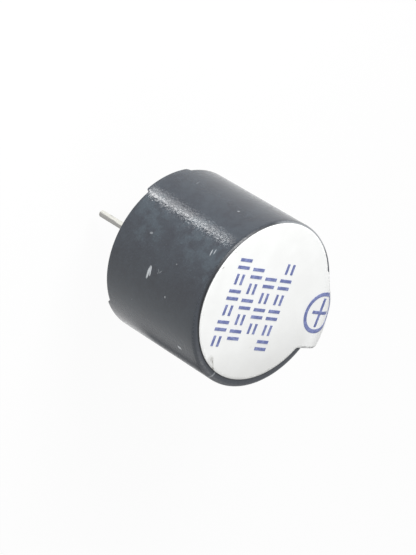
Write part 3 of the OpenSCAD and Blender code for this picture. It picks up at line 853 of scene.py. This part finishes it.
def tab_outline(s):
    """Outline of the flat label, against the clock: the tab, then the disc round the back."""
    along_side, across_end, round_corner, round_disc = 12, 26, 10, 150
    half = s.tab_width / 2
    corner = s.tab_corner
    corner_x, corner_y = s.tab_reach - corner, half - corner
    lower, upper = tab_root(s, -1), tab_root(s, 1)

    def straight(start, end, steps):
        """Points between the two ends of a straight stretch."""
        return [
            tuple(a + (b - a) * i / steps for a, b in zip(start, end)) for i in range(1, steps)
        ]

    points = list(lower)
    points += straight((lower[-1][0], -half), (corner_x, -half), along_side)
    points += arc(corner_x, -corner_y, corner, -90, 0, round_corner)
    points += straight((s.tab_reach, -corner_y), (s.tab_reach, corner_y), across_end)
    points += arc(corner_x, corner_y, corner, 0, 90, round_corner)
    points += straight((corner_x, half), (upper[-1][0], half), along_side)
    points += reversed(upper)
    start = math.degrees(math.atan2(upper[0][1] - s.off_y, upper[0][0] + s.off_x))
    end = math.degrees(math.atan2(lower[0][1] - s.off_y, lower[0][0] + s.off_x)) + 360
    points += arc(-s.off_x, s.off_y, s.radius, start, end, round_disc)[1:-1]
    return points


def points_inside(edge, step):
    """Points in rows of even triangles, inside an outline and clear of its edge."""
    row_step = 0.866 * step
    clear = 0.6 * step
    low, high = edge.min(0), edge.max(0)
    grid = []
    for j in range(int((high[1] - low[1]) / row_step) + 1):
        y = low[1] + row_step * (j + 0.5)
        x = low[0] + (0.25 if j % 2 else 0.75) * step
        grid += [(x + i * step, y) for i in range(int((high[0] - low[0]) / step) + 1)]
    grid = np.array(grid)
    inside = np.zeros(len(grid), bool)
    near = np.full(len(grid), np.inf)
    for p, q in zip(edge, np.roll(edge, -1, 0)):
        along = q - p
        if along[1]:
            crosses = (p[1] > grid[:, 1]) != (q[1] > grid[:, 1])
            inside ^= crosses & (grid[:, 0] < along[0] * (grid[:, 1] - p[1]) / along[1] + p[0])
        t = np.clip(((grid - p) @ along) / (along @ along), 0, 1)
        near = np.minimum(near, np.hypot(*(grid - p - t[:, None] * along).T))
    return grid[inside & (near > clear)]


def flat_sheet(bm, outline, grid, low_z, high_z, soft):
    """Adds a flat sheet between two heights, its upper edge softened, filled with even points."""
    edge = np.array(outline) / MM
    inner = points_inside(edge, grid / MM)
    points = np.vstack([edge, inner])
    count = len(edge)
    ring = [(i, (i + 1) % count) for i in range(count)]
    inside_only, near = 1, 1e-6
    filled = geometry.delaunay_2d_cdt(
        [Vector(p) for p in points], ring, [list(range(count))], inside_only, near
    )
    assert len(filled[0]) == len(points), "the outline crosses itself"
    way = np.roll(edge, -1, 0) - np.roll(edge, 1, 0)
    way /= np.hypot(*way.T)[:, None]
    inset = edge - np.stack([way[:, 1], -way[:, 0]], 1) * soft / MM

    def layer(places, height):
        """Corners of the mesh at one height."""
        return [bm.verts.new((x * MM, y * MM, height)) for x, y in places]

    bottom = layer(points, low_z)
    side = layer(edge, high_z - soft)
    top = layer(np.vstack([inset, inner]), high_z)
    for triangle in filled[2]:
        bm.faces.new([top[i] for i in triangle])
        bm.faces.new([bottom[i] for i in reversed(triangle)])
    for i, j in ring:
        bm.faces.new((bottom[i], bottom[j], side[j], side[i]))
        bm.faces.new((side[i], side[j], top[j], top[i]))


# Geometry node trees


def new_tree(name, sizes):
    """A tree with a geometry, the named sizes and a material as inputs, and its group input."""
    tree = bpy.data.node_groups.new(name, "GeometryNodeTree")
    kinds = {"Geometry": "Geometry", **dict.fromkeys(sizes, "Float"), "Material": "Material"}
    for title, kind in kinds.items():
        tree.interface.new_socket(title, in_out="INPUT", socket_type="NodeSocket" + kind)
    tree.interface.new_socket("Geometry", in_out="OUTPUT", socket_type="NodeSocketGeometry")
    nodes = Nodes(tree)
    return tree, nodes, nodes.add("NodeGroupInput").outputs


def close_tree(nodes, shape, material):
    """Ends a tree in real geometry with its material."""
    real = nodes.add("GeometryNodeRealizeInstances", {0: shape}).outputs[0]
    painted = nodes.add("GeometryNodeSetMaterial", {"Geometry": real, "Material": material})
    nodes.add("NodeGroupOutput", {0: painted.outputs[0]})


def run_tree(piece, tree, values):
    """Runs a tree on a piece, and keeps its result as the piece's plain mesh."""
    modifier = piece.modifiers.new(tree.name, "NODES")
    modifier.node_group = tree
    for item in tree.interface.items_tree:
        if item.in_out == "INPUT" and item.name in values:
            modifier[item.identifier] = values[item.name]
    graph = bpy.context.evaluated_depsgraph_get()
    made = bpy.data.meshes.new_from_object(piece.evaluated_get(graph))
    piece.modifiers.remove(modifier)
    old = piece.data
    piece.data = made
    made.name = piece.name
    bpy.data.meshes.remove(old)


def bend_sizes(scene):
    """Names and values of the bend's inputs."""
    s, can = scene.buzzer_label, scene.buzzer_can
    return {
        "Flat Radius": s.flat_radius,
        "Lift": s.lift,
        "Tab Width": s.tab_width,
        "Bend": s.bend,
        "Bend Slope": s.bend_slope,
        "Steepest": s.steepest,
        "Curl": s.curl,
        "Level": can.top,
        "Turn": can.turn,
    }


def bend_over_edge(nodes, shape, sizes):
    """Lays a flat shape on the can's top, bends what passes its edge, and turns it with the can."""
    x, y, height = nodes.split(nodes.add("GeometryNodeInputPosition").outputs[0])
    m = nodes.maths
    half = m("MULTIPLY", sizes["Tab Width"], 0.5)
    y_in = m("MAXIMUM", m("MINIMUM", y, half), m("MULTIPLY", half, -1))
    across = m("SUBTRACT", 0.5, m("DIVIDE", y_in, sizes["Tab Width"]))
    reach = m("MULTIPLY_ADD", m("MULTIPLY", across, across), sizes["Lift"], sizes["Flat Radius"])
    start = m("SQRT", m("SUBTRACT", m("MULTIPLY", reach, reach), m("MULTIPLY", y_in, y_in)))
    radius = m("SUBTRACT", sizes["Bend"], m("MULTIPLY", sizes["Bend Slope"], y_in))
    past = m("MAXIMUM", 0.0, m("SUBTRACT", x, start))
    clings = m("MAXIMUM", 0.0, m("DIVIDE", y_in, half))
    steepest = m("MULTIPLY_ADD", sizes["Curl"], m("MULTIPLY", clings, clings), sizes["Steepest"])
    turn = m("MINIMUM", steepest, m("DIVIDE", past, radius))
    straight = m("SUBTRACT", past, m("MULTIPLY", radius, turn))
    outer = m("ADD", radius, height)
    sine, cosine = m("SINE", turn), m("COSINE", turn)
    out = m("MULTIPLY_ADD", outer, sine, m("MULTIPLY", straight, cosine))
    drop = m("SUBTRACT", m("MULTIPLY", outer, cosine), m("MULTIPLY", straight, sine))
    new_x = m("ADD", m("MINIMUM", x, start), out)
    new_z = m("ADD", m("SUBTRACT", sizes["Level"], radius), drop)
    place = nodes.turned(nodes.join(new_x, y, new_z), sizes["Turn"])
    return nodes.add("GeometryNodeSetPosition", {"Geometry": shape, "Position": place}).outputs[0]


def bend_piece(scene, piece, tree_name, slot):
    """Bends a flat piece over the can's edge with a tree."""
    sizes = bend_sizes(scene)
    tree, nodes, given = new_tree(tree_name, sizes)
    close_tree(nodes, bend_over_edge(nodes, given["Geometry"], given), given["Material"])
    run_tree(piece, tree, {**sizes, "Material": finish(scene, slot)})


def make_label(scene):
    """The sealing label: a flat sheet, bent over the can's edge by a tree."""
    s = scene.buzzer_label
    bm = bmesh.new()
    flat_sheet(bm, tab_outline(s), s.grid, 0, s.thickness, s.soft_edge)
    soften(bm, sharp_from=50)
    piece = new_object(scene, "seal_film", bm, finish(scene, "label_film"))
    bend_piece(scene, piece, "Bent label", "label_film")
    finish_piece(piece, "label_film", "seal_label")


def stroke_pair(nodes, given, long):
    """Two strokes of one length, side by side."""
    m = nodes.maths
    size = nodes.join(long, given["Stroke"], m("ADD", given["Ink"], given["Sink"]))
    bar = nodes.add("GeometryNodeMeshCube", {"Size": size}).outputs[0]
    off = m("MULTIPLY", m("SUBTRACT", given["Mark Width"], given["Stroke"]), 0.5)
    both = nodes.add("GeometryNodeJoinGeometry")
    for side in (-1, 1):
        shift = nodes.join(0.0, m("MULTIPLY", off, side), 0.0)
        moved = nodes.add("GeometryNodeTransform", {"Geometry": bar, "Translation": shift})
        nodes.feed(both.inputs[0], moved.outputs[0])
    return both.outputs[0]


def make_row_marks(scene):
    """Rows of marks on the label: upright and level pairs of strokes in turn."""
    s, can = scene.buzzer_print, scene.buzzer_can
    sizes = {
        "Row Pitch": s.row_pitch,
        "First Row": s.row_first,
        "Row Height": s.row_height,
        "Mark Pitch": s.mark_pitch,
        "Mark Width": s.mark_width,
        "Stroke": s.stroke,
        "Ink": s.ink,
        "Sink": s.sink,
        "Level": can.top + scene.buzzer_label.thickness,
        "Turn": can.turn + s.turn,
    }
    tree, nodes, given = new_tree("Rows of marks", sizes)
    m = nodes.maths
    upright = stroke_pair(nodes, given, given["Row Height"])
    level = stroke_pair(nodes, given, given["Mark Width"])
    every = nodes.add("GeometryNodeJoinGeometry")
    index = nodes.add("GeometryNodeInputIndex").outputs[0]
    step = nodes.join(0.0, given["Mark Pitch"], 0.0)
    for row, count in enumerate(s.row_marks):
        x = m("SUBTRACT", given["First Row"], m("MULTIPLY", given["Row Pitch"], row))
        start = nodes.join(x, m("MULTIPLY", given["Mark Pitch"], -(count - 1) / 2), 0.0)
        inputs = {"Count": count, "Start Location": start, "Offset": step}
        line = nodes.add("GeometryNodeMeshLine", inputs).outputs[0]
        odd = m("MODULO", m("ADD", index, row), 2)
        for shape, chosen, turn in ((upright, nodes.rest(odd), 0), (level, odd, math.pi / 2)):
            inputs = {"Points": line, "Selection": chosen, "Instance": shape}
            inputs["Rotation"] = (0, 0, turn)
            placed = nodes.add("GeometryNodeInstanceOnPoints", inputs)
            nodes.feed(every.inputs[0], placed.outputs[0])
    rise = m("MULTIPLY", m("SUBTRACT", given["Ink"], given["Sink"]), 0.5)
    inputs = {
        "Geometry": every.outputs[0],
        "Translation": nodes.join(0.0, 0.0, m("ADD", given["Level"], rise)),
        "Rotation": nodes.join(0.0, 0.0, given["Turn"]),
    }
    laid = nodes.add("GeometryNodeTransform", inputs).outputs[0]
    close_tree(nodes, laid, given["Material"])
    ink = finish(scene, "label_ink")
    piece = new_object(scene, "row_marks", bmesh.new(), ink)
    run_tree(piece, tree, {**sizes, "Material": ink})
    finish_piece(piece, "label_ink", "row_print")


def cross_outline(centre, turn, along, across, stroke, spacing):
    """Outline of a plus, against the clock, with points at an even spacing."""
    a, b, h = along / 2, across / 2, stroke / 2
    corners = (
        (a, -h), (a, h), (h, h), (h, b), (-h, b), (-h, h),
        (-a, h), (-a, -h), (-h, -h), (-h, -b), (h, -b), (h, -h),
    )
    points = []
    for p, q in zip(corners, corners[1:] + corners[:1]):
        p, q = Vector(p), Vector(q)
        count = max(1, round((q - p).length / spacing))
        points += [p.lerp(q, i / count) for i in range(count)]
    turned = Matrix.Rotation(turn, 2)
    return [centre + turned @ p for p in points]


def add_ring(bm, centre, radius, width, low, high, steps=120):
    """Adds a flat ring between two heights."""
    inner = arc(*centre, radius - width / 2, 0, 360, steps)[:-1]
    outer = arc(*centre, radius + width / 2, 0, 360, steps)[:-1]
    sections = []
    for p, q in zip(inner, outer):
        corners = ((*p, low), (*q, low), (*q, high), (*p, high))
        sections.append([bm.verts.new(corner) for corner in corners])
    for one, other in zip(sections, sections[1:] + sections[:1]):
        for i in range(4):
            k = (i + 1) % 4
            bm.faces.new((one[i], one[k], other[k], other[i]))


def make_polarity_mark(scene):
    """The plus in its ring, which follows the bend of the tab."""
    s, label = scene.buzzer_print, scene.buzzer_label
    low, high = label.thickness - s.sink, label.thickness + s.ink
    centre = Vector((math.cos(s.turn), math.sin(s.turn))) * s.mark_at
    spacing = s.stroke / 2
    bm = bmesh.new()
    add_ring(bm, centre, s.ring, s.ring_stroke, low, high)
    plus = cross_outline(centre, s.turn, s.plus_out, s.plus_across, s.stroke, spacing)
    flat_sheet(bm, plus, spacing, low, high, s.sink)
    bmesh.ops.recalc_face_normals(bm, faces=bm.faces)
    piece = new_object(scene, "polarity_mark", bm, finish(scene, "label_ink"))
    bend_piece(scene, piece, "Mark on the bend", "label_ink")
    finish_piece(piece, "label_ink", "polarity_print")


def make_lead(scene, name, node, side, tip):
    """A tinned lead: a turned wire with an uneven coat and a cut tip."""
    s = scene.buzzer_leads
    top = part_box(node)[1].z
    core = s.radius - s.coat
    bevel = s.bevel
    section = [(0, tip), (s.radius * 0.5, tip), (s.radius - bevel, tip)]
    first_coated = len(section)
    section += arc(s.radius - bevel, tip + bevel, bevel, -90, 0, 4)[1:]
    steps = 60
    low, high = tip + bevel, s.tin_end - s.coat
    section += [(s.radius, low + (high - low) * i / steps) for i in range(1, steps)]
    coated = range(first_coated, len(section))
    section += [(core, s.tin_end), (core, top - bevel), (core - bevel, top), (0, top)]
    dent_size = 0.35 * MM
    along_share = 0.3
    apart = Vector((side * 7.3, 0, 0))

    def place(point, i, azimuth):
        if i in coated:
            at = Vector((point.x, point.y, point.z * along_share)) / dent_size
            dent = abs(noise.noise(at + apart))
            point.xy *= 1 - dent * s.ripple / math.hypot(point.x, point.y)
        return point

    bm = lathe(section, stepped_azimuths(32), place)
    bmesh.ops.translate(bm, verts=bm.verts, vec=(side * s.place, 0, 0))
    soften(bm, sharp_from=50)
    piece = new_object(scene, name, bm, finish(scene, "tinned_metal"))
    finish_piece(piece, "tinned_metal", node)


def make_leads(scene):
    """Both leads. The positive one is the longer."""
    s = scene.buzzer_leads
    make_lead(scene, "lead_wire_positive", "positive_lead", 1, s.positive_tip)
    make_lead(scene, "lead_wire_negative", "negative_lead", -1, s.negative_tip)


def make_potting(scene):
    """The cast resin: a turned face that climbs the wall and the leads, with a slow wave."""
    s, leads = scene.buzzer_potting, scene.buzzer_leads
    rings = 44
    by_wall = (0.018, 0.012, 0.006, 0.0)
    section = [(s.radius * i / rings, s.face) for i in range(rings)]
    section += [(s.radius * (1 - share), s.face) for share in by_wall]
    face = range(len(section))
    section += [(s.radius, s.back), (0, s.back)]
    wall_reach = s.climb * 0.6
    lead_reach = 0.12 * MM
    wave_size = 1.9 * MM

    def place(point, i, azimuth):
        if i in face:
            to_wall = s.radius - math.hypot(point.x, point.y)
            climb = s.climb * math.exp(-to_wall / wall_reach)
            climb -= s.wave * noise.noise(point / wave_size) * min(1, to_wall / MM)
            for side in (-1, 1):
                gap = math.hypot(point.x - side * leads.place, point.y) - leads.radius
                if gap > 0:
                    climb += s.lead_climb * math.exp(-gap / lead_reach)
            point.z -= climb
        return point

    bm = lathe(section, stepped_azimuths(200), place)
    soften(bm, sharp_from=60)
    piece = new_object(scene, "resin_fill", bm, finish(scene, "potting_resin"))
    finish_piece(piece, "potting_resin", "potting_seal")


def dress_solids(scene):
    """Every solid takes its finish: those that pieces stand for, too."""
    for row in frame["record"]["subparts"]:
        solid = frame["nodes"][row["node"]]
        material = finish(scene, row["material_slot"])
        for place in solid.material_slots:
            place.material = material
        if not solid.material_slots:
            solid.data.materials.append(material)


# Studio

WHITE = (1, 1, 1, 1)
FLOOR_RADIUS = 3
# Share of plain white in the floor that the eye sees. The rest keeps the shadow
FLOOR_GLOW = 0.94
# Elevation of a lamp that looks up from below its target. A full 90 degrees would leave its turn
# about its own axis open
UPWARDS = -89.9
# Lit strips just over the floor, which the can's side mirrors as its bright line: name, place
# along X and Y in millimetres, turn in degrees, width and length in millimetres, share of the power
LOW_STRIPS = (
    ("strip", -11.3, 11.4, 129.3, 0.85, 12, 1.0),
    ("far strip", -13.2, 13.6, 129.3, 0.85, 6, 0.22),
    ("wide strip", -10.3, 12.2, 122.3, 1.9, 12, 0.66),
)


def aim(back, roll=0.0):
    """Turn of a camera or lamp that looks against the direction back, turned about its axis."""
    side = (-back).cross(Vector((0, 0, 1))).normalized()
    up = side.cross(-back)
    right = side * math.cos(roll) + up * math.sin(roll)
    top = up * math.cos(roll) - side * math.sin(roll)
    return Matrix((right, top, back)).transposed().to_4x4()


def direction(azimuth, elevation):
    """Unit vector towards an azimuth and elevation in radians."""
    return Vector(
        (
            math.cos(elevation) * math.cos(azimuth),
            math.cos(elevation) * math.sin(azimuth),
            math.sin(elevation),
        )
    )


def add_lamp(scene, name, target, azimuth, elevation, distance, size, power, size_y=None):
    """A soft area lamp that faces the target: a disc, or a strip with a second size.

    It stands in the direction of the azimuth and elevation in degrees. The camera doesn't see it.
    """
    light = bpy.data.lights.new(name, "AREA")
    light.shape = "RECTANGLE" if size_y else "DISK"
    light.size = size
    if size_y:
        light.size_y = size_y
    light.energy = power
    lamp = bpy.data.objects.new(name, light)
    back = direction(math.radians(azimuth), math.radians(elevation))
    lamp.matrix_world = Matrix.Translation(target + back * distance) @ aim(back)
    lamp.visible_camera = False
    scene.collection.objects.link(lamp)


def seen_directly(nodes):
    """1 for rays that reach the eye straight, or by way of a gloss or clear part."""
    path = nodes.add("ShaderNodeLightPath").outputs
    return nodes.highest(path["Is Camera Ray"], path["Is Glossy Ray"], path["Is Transmission Ray"])


def floor_paper(scene):
    """Plain pale paper, which the eye sees as white with a faint shadow."""
    nodes = Finish("floor_paper", roughness=0.9, specular=0.1)
    fibre = nodes.patches(nodes.millimetres(), 1.5, (0.3, 0.7), (0, 0.02))
    nodes.shade(colour=nodes.mix(fibre, scene.buzzer_stage.floor, (0.8, 0.8, 0.8)))
    glow = nodes.add("ShaderNodeEmission", {"Color": WHITE, "Strength": 1.0})
    seen = nodes.product(seen_directly(nodes), FLOOR_GLOW)
    inputs = {0: seen, 1: nodes.shader.outputs[0], 2: glow.outputs[0]}
    mixed = nodes.add("ShaderNodeMixShader", inputs)
    nodes.feed(nodes.tree.nodes["Material Output"].inputs["Surface"], mixed.outputs[0])
    return nodes.material


def make_floor(scene):
    """A round floor under the leads."""
    bm = bmesh.new()
    bmesh.ops.create_circle(bm, cap_ends=True, radius=FLOOR_RADIUS, segments=128)
    bmesh.ops.translate(bm, verts=bm.verts, vec=(0, 0, CAD_BOX[0].z))
    new_object(scene, "floor", bm, floor_paper(scene))


def make_world(scene):
    """An even sky, which the eye sees as white."""
    world = bpy.data.worlds.new("studio")
    scene.world = world
    world.use_nodes = True
    nodes = Nodes(world.node_tree)
    strength = nodes.span(seen_directly(nodes), 0, 1, scene.buzzer_stage.world, 1.0)
    sky = nodes.tree.nodes["Background"]
    nodes.feed(sky.inputs["Color"], WHITE)
    nodes.feed(sky.inputs["Strength"], strength)


def make_lamps(scene):
    """The key and fill lamps, which face the can's middle, and the low strips."""
    s = scene.buzzer_stage
    middle = Vector((0, 0, 5 * MM))
    key = {"azimuth": 127, "elevation": 30, "distance": 70 * MM, "size": 40 * MM}
    fill = {"azimuth": 300, "elevation": 30, "distance": 250 * MM, "size": 150 * MM}
    add_lamp(scene, "key", middle, power=s.key_power, **key)
    add_lamp(scene, "fill", middle, power=s.fill_power, **fill)
    off_floor, off_target = 0.6 * MM, 0.3 * MM
    for name, x, y, turn, wide, long, share in LOW_STRIPS:
        target = Vector((x * MM, y * MM, CAD_BOX[0].z + off_floor))
        power = share * s.strip_power
        add_lamp(scene, name, target, turn, UPWARDS, off_target, wide * MM, power, long * MM)


def make_camera(scene):
    """The camera, turned about its own axis."""
    s = scene.buzzer_stage
    data = bpy.data.cameras.new("camera")
    data.lens = s.lens
    data.sensor_width = 36
    data.clip_start, data.clip_end = 10 * MM, 10
    camera = bpy.data.objects.new("camera", data)
    back = direction(s.azimuth, s.elevation)
    place = Matrix.Translation(Vector(s.target) + back * s.distance)
    camera.matrix_world = place @ aim(back, s.roll)
    scene.collection.objects.link(camera)
    scene.camera = camera


def make_stage(scene):
    """Floor, sky, lamps and camera."""
    scene.view_settings.view_transform = "Standard"
    make_floor(scene)
    make_world(scene)
    make_lamps(scene)
    make_camera(scene)


# Operators and panel


class BUZZER_OT_stage(bpy.types.Operator):
    """Make the floor, sky, lamps and camera"""

    bl_idname = "buzzer.stage"
    bl_label = "Stage"
    bl_options = {"REGISTER", "UNDO"}

    def execute(self, context):
        make_stage(context.scene)
        return {"FINISHED"}


class BUZZER_OT_can(bpy.types.Operator):
    """Make the moulded can"""

    bl_idname = "buzzer.can"
    bl_label = "Can"
    bl_options = {"REGISTER", "UNDO"}

    def execute(self, context):
        make_can(context.scene)
        return {"FINISHED"}


class BUZZER_OT_label(bpy.types.Operator):
    """Make the sealing label with its bent tab"""

    bl_idname = "buzzer.label"
    bl_label = "Sealing label"
    bl_options = {"REGISTER", "UNDO"}

    def execute(self, context):
        make_label(context.scene)
        return {"FINISHED"}


class BUZZER_OT_row_marks(bpy.types.Operator):
    """Make the rows of marks on the label"""

    bl_idname = "buzzer.row_marks"
    bl_label = "Rows of marks"
    bl_options = {"REGISTER", "UNDO"}

    def execute(self, context):
        make_row_marks(context.scene)
        return {"FINISHED"}


class BUZZER_OT_polarity_mark(bpy.types.Operator):
    """Make the plus in its ring"""

    bl_idname = "buzzer.polarity_mark"
    bl_label = "Polarity mark"
    bl_options = {"REGISTER", "UNDO"}

    def execute(self, context):
        make_polarity_mark(context.scene)
        return {"FINISHED"}


class BUZZER_OT_leads(bpy.types.Operator):
    """Make the two tinned leads"""

    bl_idname = "buzzer.leads"
    bl_label = "Leads"
    bl_options = {"REGISTER", "UNDO"}

    def execute(self, context):
        make_leads(context.scene)
        return {"FINISHED"}


class BUZZER_OT_potting(bpy.types.Operator):
    """Make the cast resin"""

    bl_idname = "buzzer.potting"
    bl_label = "Potting"
    bl_options = {"REGISTER", "UNDO"}

    def execute(self, context):
        make_potting(context.scene)
        return {"FINISHED"}


class BUZZER_OT_solids(bpy.types.Operator):
    """Give every solid its finish"""

    bl_idname = "buzzer.solids"
    bl_label = "Solids"
    bl_options = {"REGISTER", "UNDO"}

    def execute(self, context):
        dress_solids(context.scene)
        return {"FINISHED"}


OPERATORS = (
    BUZZER_OT_stage,
    BUZZER_OT_can,
    BUZZER_OT_label,
    BUZZER_OT_row_marks,
    BUZZER_OT_polarity_mark,
    BUZZER_OT_leads,
    BUZZER_OT_potting,
    BUZZER_OT_solids,
)


class BUZZER_PT_pieces(bpy.types.Panel):
    """Buttons of the pieces"""

    bl_label = "Sealed Buzzer"
    bl_space_type = "VIEW_3D"
    bl_region_type = "UI"
    bl_category = "Buzzer"

    def draw(self, context):
        for operator in OPERATORS:
            self.layout.operator(operator.bl_idname)


GROUPS = {
    "buzzer_can": CanSizes,
    "buzzer_label": LabelSizes,
    "buzzer_print": PrintSizes,
    "buzzer_leads": LeadSizes,
    "buzzer_potting": PottingSizes,
    "buzzer_colours": FinishColours,
    "buzzer_stage": StageSizes,
}

CLASSES = (*GROUPS.values(), *OPERATORS, BUZZER_PT_pieces)


def register():
    for kind in CLASSES:
        bpy.utils.register_class(kind)
    for name, group in GROUPS.items():
        setattr(bpy.types.Scene, name, PointerProperty(type=group))


def unregister():
    for name in GROUPS:
        delattr(bpy.types.Scene, name)
    for kind in reversed(CLASSES):
        bpy.utils.unregister_class(kind)


def main():
    """Makes the stage and every piece."""
    register()
    for operator in OPERATORS:
        family, name = operator.bl_idname.split(".")
        getattr(getattr(bpy.ops, family), name)()
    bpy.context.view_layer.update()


if __name__ == "__main__":
    main()
